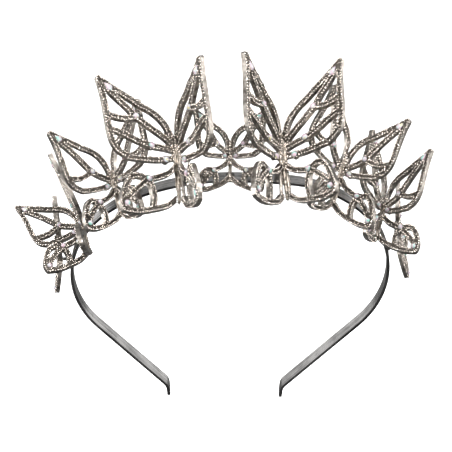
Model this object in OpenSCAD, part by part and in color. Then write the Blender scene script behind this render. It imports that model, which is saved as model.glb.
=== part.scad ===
// Butterfly tiara: a flat sprung headband carrying nine openwork butterflies.
// Units are millimetres. +Z is up, +X is to the right seen from the front, the front is -Y.
// The origin is the middle of the space for the head, level with the widest part of the band.

/* [Headband] */
// Width of the flat band, front to back
band_width = 5.5; // [4:0.5:10]
// Thickness of the band
band_thickness = 1.3; // [0.8:0.1:2]
// Height of the top of the band above its widest level
band_top = 49; // [42:0.5:60]
// Outer radius over the crown of the head, left half
left_crown_radius = 88; // [60:1:250]
// Angle of that arc
left_crown_angle = 30; // [5:0.5:40]
// Outer radius over the crown of the head, right half
right_crown_radius = 200; // [60:1:250]
// Angle of that arc
right_crown_angle = 7.5; // [5:0.5:40]
// Outer radius over both temples
temple_radius = 48; // [40:0.5:60]
// Angle of the left temple arc
left_temple_angle = 65; // [50:1:100]
// Angle of the right temple arc
right_temple_angle = 90; // [50:1:100]
// Outer radius behind the left ear
left_ear_radius = 44.5; // [35:0.5:60]
// Angle of that arc
left_ear_angle = 34.5; // [20:0.5:45]
// Outer radius behind the right ear
right_ear_radius = 49; // [35:0.5:60]
// Angle of that arc
right_ear_angle = 33; // [20:0.5:45]
// Straight run of the left leg below the ear arc
left_leg_length = 44.5; // [25:0.5:55]
// Straight run of the right leg below the ear arc
right_leg_length = 48; // [25:0.5:55]
// Outer radius of the small outward curl at each tip
tip_radius = 6; // [3:0.5:12]
// Angle of the outward curl
tip_angle = 36; // [20:1:60]
// Length of each tip past the curl, with its rounded end
tip_length = 5; // [3.5:0.5:12]

/* [Wings] */
// Width of a cast vein on the largest butterflies
vein_width = 2.35; // [1.4:0.1:3]
// Thickness of the wing castings on the largest butterflies
wing_thickness = 2; // [1:0.1:2.5]
// Share of the vein width and thickness that does not shrink with the butterfly
vein_floor = 0.7; // [0:0.05:1]
// Distance of the root rod from the body's own axis at full size
root_offset = 1.65; // [1.4:0.05:3]
// Radius of the root rod at full size
root_radius = 0.7; // [0.5:0.05:1.2]

/* [Bodies] */
// Length of the body from head to tail at full size
body_length = 28; // [22:0.5:34]
// Radius of the thorax at full size
body_radius = 1.15; // [0.8:0.05:1.6]
// Number of rings on the abdomen
abdomen_rings = 7; // [4:1:10]

/* [Stones] */
// Radius of the round stones at full size
stone_radius = 1.3; // [0.8:0.05:1.6]
// Radius of the pear stones near the wing tips at full size
pear_radius = 1.5; // [1:0.05:2]
// Height of a stone above the wing
stone_height = 1.1; // [0.6:0.1:2]

/* [Saddles] */
// Radius of the pad soldered to the band
pad_radius = 2.3; // [1.5:0.1:3.5]
// Thickness of the pad
pad_thickness = 0.8; // [0.5:0.1:1.5]
// Radius of the post between pad and body
post_radius = 0.9; // [0.6:0.1:1.5]

/* [Hidden] */
$fn = 32;
// Pieces of a smooth curve between two of its points
steps = 3;
// Clearance between castings that meet, and between a post and the body it cradles
gap = 0.05;
touch = 0.02;
// How much larger than half the band's width the radius of a tip's end is
tip_flatness = 0.3;

// One row for each butterfly, with hubs in steps of 0.5 mm and turns in steps of 5 degrees:
// name, side (-1 left, 1 right), size, hub position, [lean, pitch, roll],
// outer forewing [fold, sweep, twist], inner forewing, outer hindwing, inner hindwing
butterflies = [
    ["center", -1, 0.50, [0, 6, 57.5], [0, 40, 0],
        [30, 0, 0], [30, 0, 0], [25, 0, -5], [25, 0, -5]],
    ["inner_left", -1, 1.00, [-21.5, 4.5, 59], [5, 25, 20],
        [50, -5, 0], [40, -10, 15], [60, 0, -5], [55, 0, 5]],
    ["inner_right", 1, 1.00, [21, 4, 59.5], [-15, 20, 25],
        [45, 0, 0], [50, -5, 10], [65, 0, 0], [55, 0, 5]],
    ["middle_left", -1, 0.75, [-48.5, 4.5, 45], [30, 30, -10],
        [50, -10, 10], [30, 5, -5], [60, 0, 0], [55, 0, 0]],
    ["middle_right", 1, 0.75, [46.5, 6, 49.5], [30, 35, -5],
        [50, 0, 0], [20, 15, 5], [55, 0, 0], [50, 0, 0]],
    ["outer_left", -1, 0.70, [-62, -1, 25], [50, 20, 10],
        [45, -5, 0], [40, 5, 10], [75, 0, 0], [45, 0, 0]],
    ["outer_right", 1, 0.70, [64, 4, 30.5], [30, 25, -10],
        [65, -5, 5], [40, 10, 0], [45, 0, -5], [60, 0, 0]],
    ["end_left", -1, 0.45, [-72.5, 9.5, 4.5], [90, 5, 0],
        [5, 0, 0], [5, 0, 0], [10, 0, 0], [5, 0, 0]],
    ["end_right", 1, 0.45, [71.5, 9.5, 12.5], [80, 5, 0],
        [5, 0, 0], [5, 0, 0], [10, 0, 0], [5, 0, 0]],
];

// Veins of the forewing at full size: first number out from the body, second toward the head
fore_leading = [[1.8, 2], [2.8, 6.5], [5.6, 12], [10, 16], [15, 18.5], [20, 21.6], [26, 25], [32.6, 29.2]];
fore_outer = [[32.6, 29.2], [31.2, 22], [30.4, 13], [30, 6.5], [29, 1], [26.5, -3], [22, -5.6]];
fore_lower = [[22, -5.6], [15, -5.8], [8.5, -5.4], [1.9, -4]];
fore_rich = [
    [[30.2, 26.6], [26.8, 22.4], [21.5, 17.5], [17.6, 13.3], [11.6, 9], [6, 5.2], [1.9, 1.4]],
    [[30.4, 13], [23.7, 11.8], [17.6, 13.3]],
    [[30, 6.5], [24, 5], [19, 2.7], [12, 0.6], [6, 0], [1.9, -0.8]],
];
fore_plain = [
    [[30.2, 26.6], [26, 21.4], [21.5, 16], [17.5, 10.5], [13, 4.5], [8, 0.8], [1.9, -2]],
    [[29.4, 2.5], [21, 1.6], [13, 4.5]],
];
// Veins of the hindwing at full size
hind_veins = [
    [[1.9, -8.5], [6, -13], [11.3, -16.2], [16, -18.2], [21.5, -18],
        [25.5, -21], [28, -26.5], [29.4, -32], [28.6, -35.4]],
    [[1.9, -23], [7, -28], [15, -32], [22.5, -34.8], [28.6, -35.4]],
    [[16, -18.2], [20.5, -22.6], [24.5, -27], [28, -32.2]],
    [[16, -18.2], [13.8, -25], [15, -32]],
];
// Stone seats at full size
pear_seat = [28.4, 25.2];
fore_seats_rich = [[17.6, 13.3], [12, 0.6], [6.2, -5.3]];
fore_seats_plain = [[13, 4.5], [6.2, -5.2]];
hind_seats = [[16, -18.2], [27.6, -32.6]];

function name_of(b) = b[0];
function size_of(b) = b[2];
function is_rich(b) = size_of(b) > 0.9;
function fore_seats(b) = is_rich(b) ? fore_seats_rich : fore_seats_plain;
function shrink(b) = vein_floor + (1 - vein_floor) * size_of(b);
function vein_of(b) = vein_width * shrink(b);
function plate_of(b) = wing_thickness * shrink(b);
// A butterfly whose wings are hardly folded, so that its post stops under them
function lies_flat(b) = max(b[5][0], b[6][0], b[7][0], b[8][0]) < 20;
function stone_scale(b) = 0.35 + 0.65 * size_of(b);

// Smooth curve through a list of points
function pick(p, i) = p[max(0, min(i, len(p) - 1))];
function blend(a, b, c, d, t) =
    0.5 * (2 * b + (c - a) * t + (2 * a - 5 * b + 4 * c - d) * t * t + (3 * b - a - 3 * c + d) * t * t * t);
function curve(p) = concat(
    [for (i = [0:len(p) - 2]) for (k = [0:steps - 1])
        blend(pick(p, i - 1), p[i], p[i + 1], pick(p, i + 2), k / steps)],
    [p[len(p) - 1]]);
function side_of(c, i) =
    let (d = pick(c, i + 1) - pick(c, i - 1)) [-d[1], d[0]] / norm(d);

// Where each butterfly's body passes over the band, and its foot on the band's outer face.
// Both are worked out on the right, so x is counted from the middle outward.
seat_y = -0.2;
function body_axis(b) = let (p = b[4]) [sin(p[1]) * sin(p[0]), cos(p[1]), sin(p[1]) * cos(p[0])];
function over_band(b) =
    let (h = [abs(b[3][0]), b[3][1], b[3][2]], a = body_axis(b))
    h + a * (seat_y - h[1]) / a[1];
function line_under(b) =
    b[1] > 0 ? half_line(right_bends, right_leg_length) : half_line(left_bends, left_leg_length);
function nearest(line, q) =
    let (far = [for (p = line) norm([q[0] - p[0], q[2] - p[1]])], least = min(far))
    line[[for (i = [0:len(line) - 1]) if (far[i] == least) i][0]];

NAMES = [for (b = butterflies) str(b[0], "_butterfly")];
PIECES = ["left_wings", "right_wings", "body", "stones", "saddle"];

// ---- headband ----

// Points along the band's outer face: [x, z, heading], heading in degrees below straight right
function bend_to(p, radius, heading) =
    let (turn = heading > p[2] ? 1 : -1)
    [p[0] + turn * radius * (sin(heading) - sin(p[2])),
     p[1] + turn * radius * (cos(heading) - cos(p[2])), heading];
function run_from(p, length) = [p[0] + length * cos(p[2]), p[1] - length * sin(p[2]), p[2]];
function bend_points(p, radius, heading, count) =
    [for (i = [1:count]) bend_to(p, radius, p[2] + (heading - p[2]) * i / count)];
function last(list) = list[len(list) - 1];
function inner_side(p) = [p[0] - band_thickness * sin(p[2]), p[1] - band_thickness * cos(p[2])];

// Each half is a chain of three inward bends, [radius, angle], a straight leg and an outward curl
right_bends = [
    [right_crown_radius, right_crown_angle],
    [temple_radius, right_temple_angle],
    [right_ear_radius, right_ear_angle],
];
left_bends = [
    [left_crown_radius, left_crown_angle],
    [temple_radius, left_temple_angle],
    [left_ear_radius, left_ear_angle],
];
function half_line(bends, leg_length) =
    let (
        top = [[0, band_top, 0]],
        crown = bend_points(last(top), bends[0][0], bends[0][1], 16),
        temple = bend_points(last(crown), bends[1][0], last(crown)[2] + bends[1][1], 36),
        ear = bend_points(last(temple), bends[2][0], last(temple)[2] + bends[2][1], 16),
        leg = [run_from(last(ear), leg_length)],
        curl = bend_points(last(leg), tip_radius, last(leg)[2] - tip_angle, 8)
    )
    concat(top, crown, temple, ear, leg, curl, [run_from(last(curl), tip_length)]);

// Removes the corners of a tip, leaving a round end a little flatter than a half circle,
// so that its arc meets the band's sides at an angle
module tip_corners(end) {
    r = band_width / 2 + tip_flatness;
    translate([end[0], 0, end[1]]) rotate([0, end[2], 0])
        difference() {
            translate([-r, -r - 1, -band_thickness - 1]) cube([r + 1, 2 * r + 2, band_thickness + 2]);
            translate([-r, 0, -band_thickness - 2]) cylinder(r = r, h = band_thickness + 4, $fn = 48);
        }
}

module headband() {
    right = half_line(right_bends, right_leg_length);
    left = half_line(left_bends, left_leg_length);
    n = len(right);
    color([0.62, 0.62, 0.6])
        difference() {
            translate([0, band_width / 2, 0]) rotate([90, 0, 0]) linear_extrude(height = band_width)
                polygon(concat(
                    [for (i = [n - 1:-1:1]) [-left[i][0], left[i][1]]],
                    [for (i = [0:n - 1]) [right[i][0], right[i][1]]],
                    [for (i = [n - 1:-1:0]) inner_side(right[i])],
                    [for (i = [1:n - 1]) [-inner_side(left[i])[0], inner_side(left[i])[1]]]));
            tip_corners(last(right));
            mirror([1, 0, 0]) tip_corners(last(left));
        }
}

// ---- butterfly ----

module at_butterfly(b) {
    turned = b[4];
    mirror([b[1] > 0 ? 1 : 0, 0, 0])
        translate(b[1] > 0 ? [-b[3][0], b[3][1], b[3][2]] : b[3])
            rotate([0, -turned[0], 0]) rotate([turned[1], 0, 0]) rotate([0, -turned[2], 0])
                children();
}

// Places a flat wing: folded up from the body, swept in its own plane and twisted
module folded(side, turn) {
    rotate([0, -side * turn[0], 0]) rotate([turn[2], 0, 0]) rotate([0, 0, side * turn[1]])
        mirror([side < 0 ? 1 : 0, 0, 0])
            children();
}

module vein(points, width) {
    c = curve(points);
    n = len(c);
    polygon(concat(
        [for (i = [0:n - 1]) c[i] + side_of(c, i) * width / 2],
        [for (i = [n - 1:-1:0]) c[i] - side_of(c, i) * width / 2]));
    translate(c[0]) circle(d = width, $fn = 12);
    translate(c[n - 1]) circle(d = width, $fn = 12);
}

module wing_outline(b, veins, seats) {
    s = size_of(b);
    for (v = veins) vein(v * s, vein_of(b));
    for (p = seats) translate(p * s) circle(r = stone_radius * stone_scale(b) + 0.35, $fn = 24);
}

module fore_plate(b) {
    veins = concat([fore_leading, fore_outer, fore_lower], is_rich(b) ? fore_rich : fore_plain);
    t = plate_of(b);
    translate([0, 0, -t / 2]) linear_extrude(height = t)
        union() {
            wing_outline(b, veins, fore_seats(b));
            translate(pear_seat * size_of(b)) circle(r = pear_radius * stone_scale(b) + 0.4, $fn = 24);
        }
}

module hind_plate(b) {
    t = plate_of(b);
    translate([0, 0, -t / 2]) linear_extrude(height = t) wing_outline(b, hind_veins, hind_seats);
}

module root_rod(b, extra = 0) {
    s = size_of(b);
    translate([root_offset * s, 3.2 * s, 0]) rotate([90, 0, 0])
        cylinder(r = root_radius * s + extra, h = 27.2 * s, $fn = 20);
}

module wing_pair(b, side, fore, hind) {
    s = size_of(b);
    color([0.7, 0.67, 0.62])
        difference() {
            union() {
                folded(side, fore) fore_plate(b);
                folded(side, hind) hind_plate(b);
                folded(side, hind) root_rod(b);
            }
            translate([0, 10 * s, 0]) rotate([90, 0, 0])
                cylinder(r = body_radius * s + gap, h = 40 * s, $fn = 32);
            translate([side * (gap - 20) - 20, -50, -30]) cube([40, 100, 60]);
        }
}

module body(b) {
    s = size_of(b);
    r = body_radius * s;
    tail = -(body_length - 4) * s;
    waist = -8 * s;
    ring = (waist - tail) / abdomen_rings;
    abdomen = [for (k = [0:abdomen_rings - 1]) each [
        [r * (0.5 + 0.42 * k / abdomen_rings), tail + ring * (k + 0.05)],
        [r * (0.62 + 0.38 * k / abdomen_rings), tail + ring * (k + 0.5)],
    ]];
    chest = [[r * 0.7, waist], [r, -6 * s], [r, -0.5 * s], [r * 0.6, 1 * s],
        [r * 0.55, 1.4 * s], [r * 0.85, 2.1 * s], [r * 0.85, 3 * s], [r * 0.45, 3.8 * s], [0, 4 * s]];
    color([0.6, 0.58, 0.54])
        rotate([-90, 0, 0])
            rotate_extrude($fn = 32)
                polygon(concat([[0, tail - 0.6 * s]], abdomen, chest));
}

module round_stone(b) {
    k = stone_scale(b);
    r = stone_radius * k;
    rotate_extrude($fn = 24)
        polygon([[0, 0], [r, 0], [r, 0.35 * stone_height], [r * 0.8, 0.75 * stone_height],
            [r * 0.45, stone_height], [0, stone_height]]);
}

module pear_stone(b) {
    r = pear_radius * stone_scale(b);
    linear_extrude(height = stone_height * 0.8)
        union() {
            circle(r = r, $fn = 24);
            rotate([0, 0, 45]) polygon([[0, -r * 0.94], [r * 1.9, 0], [0, r * 0.94]]);
        }
}

module stones_on(b, side, turn, seats, with_pear) {
    s = size_of(b);
    folded(side, turn) {
        for (p = seats) translate([p[0] * s, p[1] * s, plate_of(b) / 2]) round_stone(b);
        if (with_pear) translate([pear_seat[0] * s, pear_seat[1] * s, plate_of(b) / 2]) pear_stone(b);
    }
}

module stones(b) {
    color([0.85, 0.92, 0.9]) {
        stones_on(b, -1, b[5], fore_seats(b), true);
        stones_on(b, 1, b[6], fore_seats(b), true);
        stones_on(b, -1, b[7], hind_seats, false);
        stones_on(b, 1, b[8], hind_seats, false);
    }
}

// Pad soldered on the band with a post that cradles the body, or carries wings that lie flat
module saddle(b) {
    s = size_of(b);
    q = over_band(b);
    p = nearest(line_under(b), q);
    along = (q[0] - p[0]) * cos(p[2]) - (q[2] - p[1]) * sin(p[2]);
    reach = (q[0] - p[0]) * sin(p[2]) + (q[2] - p[1]) * cos(p[2]);
    foot = [p[0] + along * cos(p[2]), seat_y, p[1] - along * sin(p[2])];
    color([0.5, 0.48, 0.45])
        difference() {
            mirror([b[1] < 0 ? 1 : 0, 0, 0]) translate(foot) rotate([0, p[2], 0]) {
                cylinder(r = pad_radius * (0.6 + 0.4 * s), h = pad_thickness);
                cylinder(r = post_radius * (0.6 + 0.4 * s), h = reach, $fn = 24);
            }
            at_butterfly(b) {
                translate([0, 10 * s, 0]) rotate([90, 0, 0])
                    cylinder(r = body_radius * s + touch, h = 40 * s, $fn = 32);
                folded(-1, b[7]) root_rod(b, gap);
                folded(1, b[8]) root_rod(b, gap);
                if (lies_flat(b)) translate([-20, -50, -plate_of(b) / 2 - 2 * gap]) cube([40, 100, 40]);
            }
        }
}

module left_wings(b) {
    at_butterfly(b)
        if (b[1] < 0) wing_pair(b, -1, b[5], b[7]);
        else wing_pair(b, 1, b[6], b[8]);
}

module right_wings(b) {
    at_butterfly(b)
        if (b[1] < 0) wing_pair(b, 1, b[6], b[8]);
        else wing_pair(b, -1, b[5], b[7]);
}

module butterfly_piece(b, piece) {
    if (piece == "left_wings") left_wings(b);
    if (piece == "right_wings") right_wings(b);
    if (piece == "body") at_butterfly(b) body(b);
    if (piece == "stones") at_butterfly(b) stones(b);
    if (piece == "saddle") saddle(b);
}

headband();
for (b = butterflies) for (p = PIECES)
    butterfly_piece(b, p);
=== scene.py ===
"""Looks of the butterfly tiara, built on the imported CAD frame. Metres, +Z up, front is -Y."""

import math
import random

import bpy
import numpy as np
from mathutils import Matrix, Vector


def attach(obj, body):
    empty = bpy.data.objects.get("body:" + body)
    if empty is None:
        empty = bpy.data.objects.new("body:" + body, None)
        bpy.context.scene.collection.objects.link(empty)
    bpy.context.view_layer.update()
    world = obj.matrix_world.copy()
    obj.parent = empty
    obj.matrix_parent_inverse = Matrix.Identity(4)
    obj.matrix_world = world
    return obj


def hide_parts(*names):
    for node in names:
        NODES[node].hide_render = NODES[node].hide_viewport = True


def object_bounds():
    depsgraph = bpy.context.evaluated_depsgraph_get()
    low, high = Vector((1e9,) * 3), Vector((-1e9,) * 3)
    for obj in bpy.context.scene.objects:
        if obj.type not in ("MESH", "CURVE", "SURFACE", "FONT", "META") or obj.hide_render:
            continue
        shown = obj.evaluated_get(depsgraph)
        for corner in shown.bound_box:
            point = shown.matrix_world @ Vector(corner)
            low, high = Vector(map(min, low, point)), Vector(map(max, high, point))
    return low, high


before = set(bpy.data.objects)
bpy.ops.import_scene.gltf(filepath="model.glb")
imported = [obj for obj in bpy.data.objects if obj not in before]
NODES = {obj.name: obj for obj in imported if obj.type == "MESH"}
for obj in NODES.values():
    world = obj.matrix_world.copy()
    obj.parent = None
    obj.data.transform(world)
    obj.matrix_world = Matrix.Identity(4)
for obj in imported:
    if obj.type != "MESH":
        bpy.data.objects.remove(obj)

CAD_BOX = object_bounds()
MM = 0.001
random.seed(7)
BUTTERFLIES = sorted({name.rsplit("_butterfly_", 1)[0] for name in NODES if "_butterfly_" in name})

# Body length of the two largest butterflies. Their size counts as 1.
LARGEST_BODY = 0.0286
# How well two triangles' directions and offsets agree when they lie in one plane
SAME_DIRECTION = 0.9995
SAME_OFFSET = 0.00002
# Triangles smaller than this have no direction that can be trusted
SLIVER_AREA = 1e-12
# How many flat faces of a piece are collected before the search stops
FACES_TRIED = 14
# Smallest area of a wing's front face
FRONT_AREA = 4e-6
# Reach of the wing roots from the body's axis on the largest butterfly, for their grains and their colour
ROOT_GRAINS_MM = 2.45
ROOT_COLOUR_MM = 2.3
# Radius of the grains along a vein's edges and between them, as shares of their pitch
EDGE_GRAIN = 0.38
FINE_GRAIN = 0.27
# Bare ring left around each gem
GEM_CLEARANCE = 0.15 * MM


# ---------------------------------------------------------------- materials

def new_material(name):
    """A material with its nodes, its Principled shader and a helper that adds nodes."""
    made = bpy.data.materials.new(name)
    made.use_nodes = True
    tree = made.node_tree
    shader = tree.nodes["Principled BSDF"]

    def add(kind, **values):
        node = tree.nodes.new(kind)
        for key, value in values.items():
            if key in node.inputs:
                node.inputs[key].default_value = value
            else:
                setattr(node, key, value)
        return node

    return made, tree, shader, add


def ramp_of(node, stops):
    """Sets a colour ramp's stops: a list of (position, colour)."""
    elements = node.color_ramp.elements
    while len(elements) > len(stops):
        elements.remove(elements[-1])
    while len(elements) < len(stops):
        elements.new(1.0)
    for element, (position, colour) in zip(elements, stops):
        element.position = position
        element.color = (*colour, 1)


def metal(name, light, dark, roughness, grain_mm, bump, patch_mm):
    """Plated metal: two tones in soft patches, a fine grain in roughness and bump."""
    made, tree, shader, add = new_material(name)
    place = add("ShaderNodeTexCoord")
    patches = add("ShaderNodeTexNoise", Scale=1000 / patch_mm, Detail=3.0, Roughness=0.6)
    grain = add("ShaderNodeTexNoise", Scale=1000 / grain_mm, Detail=4.0, Roughness=0.65)
    tone = add("ShaderNodeValToRGB")
    ramp_of(tone, [(0.33, dark), (0.62, light)])
    rough = add("ShaderNodeMapRange")
    rough.inputs["To Min"].default_value = roughness - 0.1
    rough.inputs["To Max"].default_value = roughness + 0.12
    relief = add("ShaderNodeBump", Strength=bump, Distance=0.0002)
    link = tree.links.new
    for noise in (patches, grain):
        link(place.outputs["Object"], noise.inputs["Vector"])
    link(patches.outputs["Fac"], tone.inputs["Fac"])
    link(tone.outputs["Color"], shader.inputs["Base Color"])
    link(grain.outputs["Fac"], rough.inputs["Value"])
    link(rough.outputs["Result"], shader.inputs["Roughness"])
    link(grain.outputs["Fac"], relief.inputs["Height"])
    link(relief.outputs["Normal"], shader.inputs["Normal"])
    shader.inputs["Metallic"].default_value = 1.0
    return made


def opal(name):
    """Milky stone: soft green, rose and straw clouds under a clear polish."""
    made, tree, shader, add = new_material(name)
    place = add("ShaderNodeTexCoord")
    clouds = add("ShaderNodeTexNoise", Scale=520.0, Detail=2.0, Roughness=0.5, Distortion=0.6)
    tone = add("ShaderNodeValToRGB")
    ramp_of(tone, [
        (0.30, (0.16, 0.40, 0.32)),
        (0.42, (0.36, 0.45, 0.44)),
        (0.50, (0.46, 0.29, 0.34)),
        (0.60, (0.40, 0.45, 0.48)),
        (0.72, (0.48, 0.40, 0.18)),
    ])
    link = tree.links.new
    link(place.outputs["Object"], clouds.inputs["Vector"])
    link(clouds.outputs["Fac"], tone.inputs["Fac"])
    link(tone.outputs["Color"], shader.inputs["Base Color"])
    shader.inputs["Roughness"].default_value = 0.12
    shader.inputs["IOR"].default_value = 1.45
    shader.inputs["Subsurface Weight"].default_value = 0.15
    shader.inputs["Subsurface Radius"].default_value = (0.002, 0.002, 0.002)
    shader.inputs["Subsurface Scale"].default_value = 0.6
    shader.inputs["Coat Weight"].default_value = 0.6
    shader.inputs["Coat Roughness"].default_value = 0.04
    return made


def streaked(name, light, dark, roughness):
    """Rolled and plated strip: fine streaks along its run, broken up by soft patches."""
    streak_share = 0.55
    patch_share = 0.45
    made, tree, shader, add = new_material(name)
    link = tree.links.new
    place = add("ShaderNodeTexCoord")
    stretch = add("ShaderNodeMapping")
    # Quick changes across the strip's width, which runs along Y, and slow ones along the strip
    stretch.inputs["Scale"].default_value = (25, 2400, 25)
    streaks = add("ShaderNodeTexNoise", Scale=1.0, Detail=3.0, Roughness=0.6)
    patches = add("ShaderNodeTexNoise", Scale=90.0, Detail=3.0, Roughness=0.6)
    both = add("ShaderNodeMath", operation="MULTIPLY_ADD")
    both.inputs[1].default_value = streak_share
    patch_part = add("ShaderNodeMath", operation="MULTIPLY")
    patch_part.inputs[1].default_value = patch_share
    tone = add("ShaderNodeValToRGB")
    ramp_of(tone, [(0.40, dark), (0.58, light)])
    rough = add("ShaderNodeMapRange")
    rough.inputs["To Min"].default_value = roughness - 0.08
    rough.inputs["To Max"].default_value = roughness + 0.14
    relief = add("ShaderNodeBump", Strength=0.15, Distance=0.0001)
    link(place.outputs["Object"], stretch.inputs["Vector"])
    link(stretch.outputs["Vector"], streaks.inputs["Vector"])
    link(place.outputs["Object"], patches.inputs["Vector"])
    link(patches.outputs["Fac"], patch_part.inputs[0])
    link(streaks.outputs["Fac"], both.inputs[0])
    link(patch_part.outputs["Value"], both.inputs[2])
    link(both.outputs["Value"], tone.inputs["Fac"])
    link(tone.outputs["Color"], shader.inputs["Base Color"])
    link(streaks.outputs["Fac"], rough.inputs["Value"])
    link(rough.outputs["Result"], shader.inputs["Roughness"])
    link(streaks.outputs["Fac"], relief.inputs["Height"])
    link(relief.outputs["Normal"], shader.inputs["Normal"])
    shader.inputs["Metallic"].default_value = 1.0
    return made


SILVER = metal("aged_silver", light=(0.50, 0.46, 0.415), dark=(0.14, 0.125, 0.11),
               roughness=0.34, grain_mm=0.35, bump=0.5, patch_mm=1.8)
# Darker back of the wings: painted shade. Its higher roughness is the cast finish.
SHADED_BACK = metal("cast_back_shaded_silver", light=(0.36, 0.34, 0.31), dark=(0.14, 0.13, 0.115),
             roughness=0.42, grain_mm=0.5, bump=0.6, patch_mm=2.5)
BEAD = metal("granulated_silver", light=(0.86, 0.79, 0.72), dark=(0.22, 0.19, 0.165),
             roughness=0.22, grain_mm=0.5, bump=0.3, patch_mm=1.0)
# Near-black front plate under the grains: blackened silver, plus painted shade in the gaps between the
# grains.
RECESS_OXIDE_AND_SHADE = metal("blackened_and_shaded_silver", light=(0.13, 0.115, 0.10), dark=(0.03, 0.026, 0.022),
               roughness=0.5, grain_mm=0.3, bump=0.5, patch_mm=1.5)
BODY = metal("body_silver", light=(0.58, 0.51, 0.44), dark=(0.17, 0.15, 0.125),
             roughness=0.36, grain_mm=0.4, bump=0.5, patch_mm=1.6)
BAND = streaked("gunmetal", light=(0.80, 0.785, 0.77), dark=(0.34, 0.335, 0.33), roughness=0.2)
# Darker colour for the band's edges: painted shade.
SHADED_EDGE = streaked("gunmetal_shaded_edge", light=(0.28, 0.275, 0.27), dark=(0.07, 0.07, 0.07), roughness=0.22)
SOLDER = metal("solder", light=(0.26, 0.245, 0.225), dark=(0.10, 0.093, 0.085),
               roughness=0.45, grain_mm=0.5, bump=0.5, patch_mm=2.0)
OPAL = opal("opal")


# ---------------------------------------------------------------- reading the frame

def welded(obj):
    """The CAD node's mesh as corner points and triangles, equal points joined."""
    mesh = obj.data
    points = np.array([v.co[:] for v in mesh.vertices], float).reshape(-1, 3)
    _, first, index = np.unique(np.round(points, 7), axis=0, return_index=True, return_inverse=True)
    index = np.asarray(index).reshape(-1)
    triangles = [[int(index[i]) for i in face.vertices] for face in mesh.polygons]
    return points[first], triangles


def normals_of(points, triangles):
    """Each triangle's unit normal and area."""
    t = np.array(triangles)
    cross = np.cross(points[t[:, 1]] - points[t[:, 0]], points[t[:, 2]] - points[t[:, 0]])
    size = np.linalg.norm(cross, axis=1)
    return cross / np.maximum(size, 1e-15)[:, None], size / 2


def flat_faces(points, triangles, count):
    """The largest flat faces: a list of (normal, offset, area, triangle numbers)."""
    unit, area = normals_of(points, triangles)
    offset = np.einsum("ij,ij->i", unit, points[np.array(triangles)[:, 0]])
    left = set(np.nonzero(area > SLIVER_AREA)[0])
    found = []
    for seed in np.argsort(-area):
        if len(found) >= FACES_TRIED:
            break
        if seed not in left:
            continue
        same = (unit @ unit[seed] > SAME_DIRECTION) & (abs(offset - offset[seed]) < SAME_OFFSET)
        members = [i for i in np.nonzero(same)[0] if i in left]
        left -= set(members)
        found.append((unit[seed], offset[seed], area[members].sum(), members))
    found.sort(key=lambda f: -f[2])
    return found[:count]


def loops_of(points, triangles, members):
    """Closed outlines of a flat face, each a list of points with the metal on its left."""
    edges = {}
    for i in members:
        a, b, c = triangles[i]
        for edge in ((a, b), (b, c), (c, a)):
            edges[edge] = True
    rim = {}
    for a, b in edges:
        if (b, a) not in edges:
            rim.setdefault(a, []).append(b)
    loops = []
    while rim:
        start = next(iter(rim))
        loop = [start]
        here = start
        while here in rim:
            there = rim[here].pop()
            if not rim[here]:
                del rim[here]
            if there == start:
                break
            loop.append(there)
            here = there
        if len(loop) > 2:
            loops.append(points[loop])
    return loops


# ---------------------------------------------------------------- wings

def along(loop, pitch):
    """Evenly spaced points on a closed outline, with the direction there."""
    closed = np.vstack([loop, loop[:1]])
    steps = np.linalg.norm(np.diff(closed, axis=0), axis=1)
    total = steps.sum()
    count = max(3, int(round(total / pitch)))
    ends = np.concatenate([[0], np.cumsum(steps)])
    places = []
    for k in range(count):
        s = total * (k + 0.5) / count
        i = min(int(np.searchsorted(ends, s, side="right")) - 1, len(steps) - 1)
        f = (s - ends[i]) / max(steps[i], 1e-9)
        direction = (closed[i + 1] - closed[i]) / max(steps[i], 1e-9)
        places.append((closed[i] + (closed[i + 1] - closed[i]) * f, direction))
    return places


def bead_dome(sides, rings):
    """Unit half-ball: points and faces, base open and sunk a little into the metal."""
    sunk = 25
    points = []
    for r in range(rings):
        lift = math.radians(-sunk + (90 + sunk) * r / rings)
        for s in range(sides):
            turn = 2 * math.pi * (s + 0.5 * (r % 2)) / sides
            points.append((math.cos(lift) * math.cos(turn), math.cos(lift) * math.sin(turn), math.sin(lift)))
    points.append((0, 0, 1))
    top = len(points) - 1
    faces = []
    for r in range(rings - 1):
        for s in range(sides):
            a = r * sides + s
            b = r * sides + (s + 1) % sides
            faces.append((a, b, b + sides, a + sides))
    for s in range(sides):
        a = (rings - 1) * sides + s
        b = (rings - 1) * sides + (s + 1) % sides
        faces.append((a, b, top))
    return np.array(points), faces


DOME = bead_dome(sides=7, rings=3)


def mesh_object(name, points, faces, material):
    """A smooth-shaded mesh object in the scene."""
    mesh = bpy.data.meshes.new(name)
    mesh.from_pydata([tuple(p) for p in points], [], faces)
    mesh.validate()
    mesh.update()
    obj = bpy.data.objects.new(name, mesh)
    bpy.context.scene.collection.objects.link(obj)
    obj.data.materials.append(material)
    mesh.polygons.foreach_set("use_smooth", [True] * len(mesh.polygons))
    return obj


def frame_on(normal):
    """Three axes, the last along the normal."""
    side = np.cross(normal, (0.0, 0.0, 1.0))
    if np.linalg.norm(side) < 0.1:
        side = np.cross(normal, (0.0, 1.0, 0.0))
    side = side / np.linalg.norm(side)
    return np.array([side, np.cross(normal, side), normal])


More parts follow.
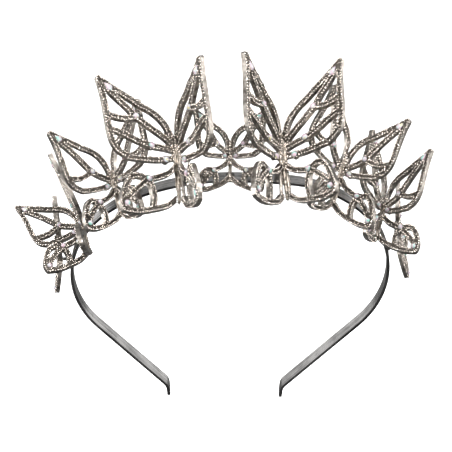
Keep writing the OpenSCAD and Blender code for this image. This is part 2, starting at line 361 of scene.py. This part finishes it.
def front_faces(wings, stones):
    """The flat faces of a pair of wings that its stones sit on: at most two, those with the most seats."""
    margin_low, margin_high = 0.001, 0.002
    touching = 0.00004
    lowest_top, highest_top = 0.0004, 0.0012
    fewest_seats, fewest_tops = 8, 4
    points, triangles = welded(wings)
    seats, _ = welded(stones)
    fronts = []
    for normal, offset, area, members in flat_faces(points, triangles, 6):
        if area < FRONT_AREA:
            continue
        height = seats @ normal - offset
        near = points[np.array([triangles[i] for i in members]).ravel()]
        low = near.min(0) - margin_low
        high = near.max(0) + margin_high
        inside = np.all((seats > low) & (seats < high), axis=1)
        on = inside & (abs(height) < touching)
        above = inside & (height > lowest_top) & (height < highest_top)
        if on.sum() >= fewest_seats and above.sum() >= fewest_tops:
            fronts.append((normal, members, on.sum()))
    fronts.sort(key=lambda front: -front[2])
    return points, triangles, [(normal, members) for normal, members, _ in fronts[:2]]


class Grains:
    """Collects half-ball grains into one mesh."""

    def __init__(self):
        self.points = []
        self.faces = []

    def add(self, centre, normal, radius):
        """One grain, turned at random about the normal and a little flattened."""
        axes = frame_on(normal)
        spin = random.uniform(0, 2 * math.pi)
        c, s = math.cos(spin), math.sin(spin)
        turned = np.array([c * axes[0] + s * axes[1], c * axes[1] - s * axes[0], axes[2] * 0.85])
        base = len(self.points) * len(DOME[0])
        self.points.append(centre + (DOME[0] * radius) @ turned)
        self.faces += [tuple(i + base for i in face) for face in DOME[1]]

    def build(self, name, material):
        """Makes the grains one piece that rides the root."""
        obj = mesh_object(name, np.vstack(self.points), self.faces, material)
        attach(obj, "root")


def on_a_gem(spot, gems):
    """Whether a grain here would stand on a gem."""
    return any(np.linalg.norm(spot - gem) < reach for gem, reach in gems)


def granulate(name, wings, stones, size, gems):
    """Grains in rows along both edges of every vein, and finer ones between, on the front of a pair of wings.

    Returns the front faces."""
    points, triangles, fronts = front_faces(wings, stones)
    pitch = (1.0 + 0.25 * size) * MM
    radius = EDGE_GRAIN * pitch
    grains = Grains()
    for normal, members in fronts:
        for loop in loops_of(points, triangles, members):
            for place, direction in along(loop, pitch):
                inward = np.cross(normal, direction)
                r = radius * random.uniform(0.8, 1.15)
                centre = place + inward * radius * 0.6 + normal * r * random.uniform(0.0, 0.15)
                if not on_a_gem(centre, gems):
                    grains.add(centre, normal, r)
        fine = scattered([(points, [triangles[i] for i in members])], 0.85 * pitch)
        for spot, _ in fine:
            if not on_a_gem(spot, gems):
                grains.add(spot, normal, FINE_GRAIN * pitch * random.uniform(0.7, 1.2))
    grains.build(name, BEAD)
    return fronts


def axis_of(body):
    """A body's middle and the direction it runs in."""
    points, _ = welded(body)
    middle = (points.min(0) + points.max(0)) / 2
    return middle, np.linalg.svd(points - points.mean(0))[2][0]


def scattered(sources, spacing):
    """Random places on triangles, no two closer than the spacing: a list of (place, normal)."""
    taken = {}
    found = []
    steps = [(dx, dy, dz) for dx in (-1, 0, 1) for dy in (-1, 0, 1) for dz in (-1, 0, 1)]
    for points, triangles in sources:
        unit, area = normals_of(points, triangles)
        for i, triangle in enumerate(triangles):
            a, b, c = points[triangle]
            for _ in range(1 + int(area[i] / spacing ** 2 * 3)):
                u, v = random.random(), random.random()
                if u + v > 1:
                    u, v = 1 - u, 1 - v
                spot = a + (b - a) * u + (c - a) * v
                cell = tuple(int(math.floor(k / spacing)) for k in spot)
                keys = [(cell[0] + dx, cell[1] + dy, cell[2] + dz) for dx, dy, dz in steps]
                around = [taken[key] for key in keys if key in taken]
                if any(np.linalg.norm(spot - other) < spacing for other in around):
                    continue
                taken[cell] = spot
                found.append((spot, unit[i]))
    return found


def stipple(name, sources, size):
    """Small grains scattered evenly over a body and the wing roots beside it."""
    spacing = (0.55 + 0.2 * size) * MM
    grains = Grains()
    for spot, normal in scattered(sources, spacing):
        grains.add(spot, normal, 0.5 * spacing * random.uniform(0.75, 1.1))
    grains.build(name, BODY)


def roots_of(wings, middle, axis, size):
    """The triangles of a pair of wings that lie along the body."""
    points, triangles = welded(wings)
    away = points - middle
    distance = np.linalg.norm(away - np.outer(away @ axis, axis), axis=1)
    near = [t for t in triangles if distance[t].max() < ROOT_GRAINS_MM * size * MM]
    return points, near


def separate(points, triangles):
    """Splits a mesh into its connected parts, each a list of triangles."""
    parent = list(range(len(points)))

    def root(i):
        while parent[i] != i:
            parent[i] = parent[parent[i]]
            i = parent[i]
        return i

    for a, b, c in triangles:
        parent[root(a)] = root(b)
        parent[root(b)] = root(c)
    parts = {}
    for t in triangles:
        parts.setdefault(root(t[0]), []).append(t)
    return list(parts.values())


def cabochons(name, stones, fronts):
    """A smooth domed gem on each stone's own outline. Returns each gem's place and reach."""
    facing_down = -0.99
    at_the_bottom = 0.00003
    rings = 6
    points, triangles = welded(stones)
    normals = [normal for normal, _ in fronts]
    all_points, all_faces, gems = [], [], []
    base = 0
    for part in separate(points, triangles):
        corners = points[sorted({i for t in part for i in t})]
        flat = flat_faces(points, part, 1)[0]
        normal = max(normals, key=lambda n: abs(n @ flat[0]))
        heights = corners @ normal
        low, tall = heights.min(), heights.max() - heights.min()
        unit, _ = normals_of(points, part)
        bottom = [i for i, triangle in enumerate(part)
                  if unit[i] @ normal < facing_down
                  and abs(points[triangle[0]] @ normal - low) < at_the_bottom]
        loops = loops_of(points, part, bottom)
        if not loops:
            continue
        outline = max(loops, key=len)[::-1]
        middle = outline.mean(0)
        for r in range(rings):
            turn = math.pi / 2 * r / rings
            ring = middle + (outline - middle) * math.cos(turn) + normal * tall * math.sin(turn)
            all_points.append(ring)
        all_points.append((middle + normal * tall)[None, :])
        n = len(outline)
        for r in range(rings - 1):
            for k in range(n):
                a, b = base + r * n + k, base + r * n + (k + 1) % n
                all_faces.append((a, b, b + n, a + n))
        top = base + rings * n
        for k in range(n):
            all_faces.append((top - n + k, top - n + (k + 1) % n, top))
        all_faces.append(tuple(base + k for k in reversed(range(n))))
        base += rings * n + 1
        gems.append((middle, np.linalg.norm(outline - middle, axis=1).min() + GEM_CLEARANCE))
    obj = mesh_object(name, np.vstack(all_points), all_faces, OPAL)
    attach(obj, "root")
    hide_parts(stones.name)
    return gems


def paint_wings(wings, fronts, middle, axis, size):
    """Blackened and darkened by painted shade between the grains, bright on the side walls, dull and darkened
    by painted shade on the back, tan along the body.
    """
    wall, front, back, root = range(4)
    along_normal = 0.999
    wings.data.materials.clear()
    for material in (SILVER, RECESS_OXIDE_AND_SHADE, SHADED_BACK, BODY):
        wings.data.materials.append(material)
    for face in wings.data.polygons:
        away = np.array(face.center) - middle
        beside = np.linalg.norm(away - (away @ axis) * axis) < ROOT_COLOUR_MM * size * MM
        if any(face.normal.dot(Vector(normal)) > along_normal for normal, _ in fronts):
            # The front plate takes the near-black colour: blackening and painted shade between the grains.
            face.material_index = front
        elif beside:
            face.material_index = root
        # The back faces take the darker colour: painted shade.
        elif any(face.normal.dot(Vector(normal)) < -along_normal for normal, _ in fronts):
            face.material_index = back
        else:
            face.material_index = wall


def paint_band(band):
    """Streaked faces, with painted shade making the edges darker. The edges face the front and the back,
    along Y.
    """
    band.data.materials.clear()
    band.data.materials.append(BAND)
    band.data.materials.append(SHADED_EDGE)
    for face in band.data.polygons:
        # The edges take the darker colour: painted shade.
        face.material_index = 1 if abs(face.normal.y) > 0.9 else 0


def assign(obj, material):
    """Gives an object this one material."""
    obj.data.materials.clear()
    obj.data.materials.append(material)


def size_of(bird):
    """Size of a butterfly against the largest, from its body's length."""
    body = NODES[f"{bird}_butterfly_body"]
    points, _ = welded(body)
    middle, axis = axis_of(body)
    reach = (points - middle) @ axis
    return (reach.max() - reach.min()) / LARGEST_BODY


for bird in BUTTERFLIES:
    stones = NODES[f"{bird}_butterfly_stones"]
    body = NODES[f"{bird}_butterfly_body"]
    pairs = {side: NODES[f"{bird}_butterfly_{side}_wings"] for side in ("left", "right")}
    size = size_of(bird)
    middle, axis = axis_of(body)
    assign(body, BODY)
    assign(NODES[f"{bird}_butterfly_saddle"], SOLDER)
    every_front = [front for wings in pairs.values() for front in front_faces(wings, stones)[2]]
    gems = cabochons(f"{bird}_opals", stones, every_front)
    for side, wings in pairs.items():
        fronts = granulate(f"{bird}_{side}_granules", wings, stones, size, gems)
        paint_wings(wings, fronts, middle, axis, size)
    stipple(f"{bird}_body_granules",
            [welded(body)] + [roots_of(wings, middle, axis, size) for wings in pairs.values()], size)
paint_band(NODES["headband"])


# ---------------------------------------------------------------- stage

def area_light(name, place, target, size, power):
    """A white rectangular light aimed at a point, unseen by the camera."""
    light = bpy.data.lights.new(name, "AREA")
    light.shape = "RECTANGLE"
    light.size, light.size_y = size
    light.energy = power
    obj = bpy.data.objects.new(name, light)
    bpy.context.scene.collection.objects.link(obj)
    obj.visible_camera = False
    obj.location = place
    obj.rotation_euler = (Vector(target) - Vector(place)).to_track_quat("-Z", "Y").to_euler()


def make_world():
    """An even, dim white surround, with colours shown unchanged so that the background stays white."""
    world = bpy.data.worlds.new("studio")
    bpy.context.scene.world = world
    world.use_nodes = True
    world.node_tree.nodes["Background"].inputs["Color"].default_value = (1, 1, 1, 1)
    world.node_tree.nodes["Background"].inputs["Strength"].default_value = 0.15
    bpy.context.scene.view_settings.view_transform = "Standard"


def make_floor():
    """A pale floor, wide enough to fill low views and well below the tips of the band."""
    edge = 60.0
    drop = 0.3
    level = CAD_BOX[0].z - drop
    mesh = bpy.data.meshes.new("floor")
    mesh.from_pydata([(-edge, -edge, level), (edge, -edge, level), (edge, edge, level), (-edge, edge, level)],
                     [], [(0, 1, 2, 3)])
    floor = bpy.data.objects.new("floor", mesh)
    bpy.context.scene.collection.objects.link(floor)
    made, tree, shader, add = new_material("pale_floor")
    speckle = add("ShaderNodeTexNoise", Scale=40.0, Detail=2.0)
    tone = add("ShaderNodeValToRGB")
    ramp_of(tone, [(0.3, (0.93, 0.93, 0.93)), (0.7, (0.95, 0.95, 0.95))])
    tree.links.new(speckle.outputs["Fac"], tone.inputs["Fac"])
    tree.links.new(tone.outputs["Color"], shader.inputs["Base Color"])
    shader.inputs["Roughness"].default_value = 0.9
    shader.inputs["Emission Color"].default_value = (1, 1, 1, 1)
    shader.inputs["Emission Strength"].default_value = 0.95
    floor.data.materials.append(made)
    floor.visible_glossy = False


def make_lights():
    """Soft light from the front and top, rims at the sides, a little from behind, and two cards."""
    middle = (0, 0, 0.02)
    area_light("key", (-0.5, -0.55, 0.75), middle, (0.3, 0.3), 11)
    area_light("fill", (0.6, -0.5, 0.45), middle, (0.35, 0.2), 5)
    area_light("top", (0.05, 0.1, 0.8), middle, (0.4, 0.2), 6)
    area_light("rim_left", (-0.8, 0.2, 0.15), middle, (0.12, 0.6), 4)
    area_light("rim_right", (0.8, 0.25, 0.2), middle, (0.12, 0.6), 4)
    area_light("back", (0, 0.9, 0.6), middle, (1.2, 0.3), 0.3)
    for side in (-1, 1):
        area_light("card", (side * 0.57, 0.69, -0.12), (0, 0, -0.03), (0.4, 0.5), 0.32)


def make_camera():
    """The photograph's view: from 40 degrees above the horizon, facing the front."""
    elevation = math.radians(40)
    distance = 0.9
    aim = Vector((-0.0017, 0.01094, 0.01304))
    toward = Vector((0, -math.cos(elevation), math.sin(elevation)))
    data = bpy.data.cameras.new("camera")
    data.lens = 168.4
    data.sensor_width = 36
    cam = bpy.data.objects.new("camera", data)
    bpy.context.scene.collection.objects.link(cam)
    cam.location = aim + toward * distance
    cam.rotation_euler = (math.radians(90) - elevation, 0, 0)
    bpy.context.scene.camera = cam


make_world()
make_floor()
make_lights()
make_camera()
bpy.context.view_layer.update()
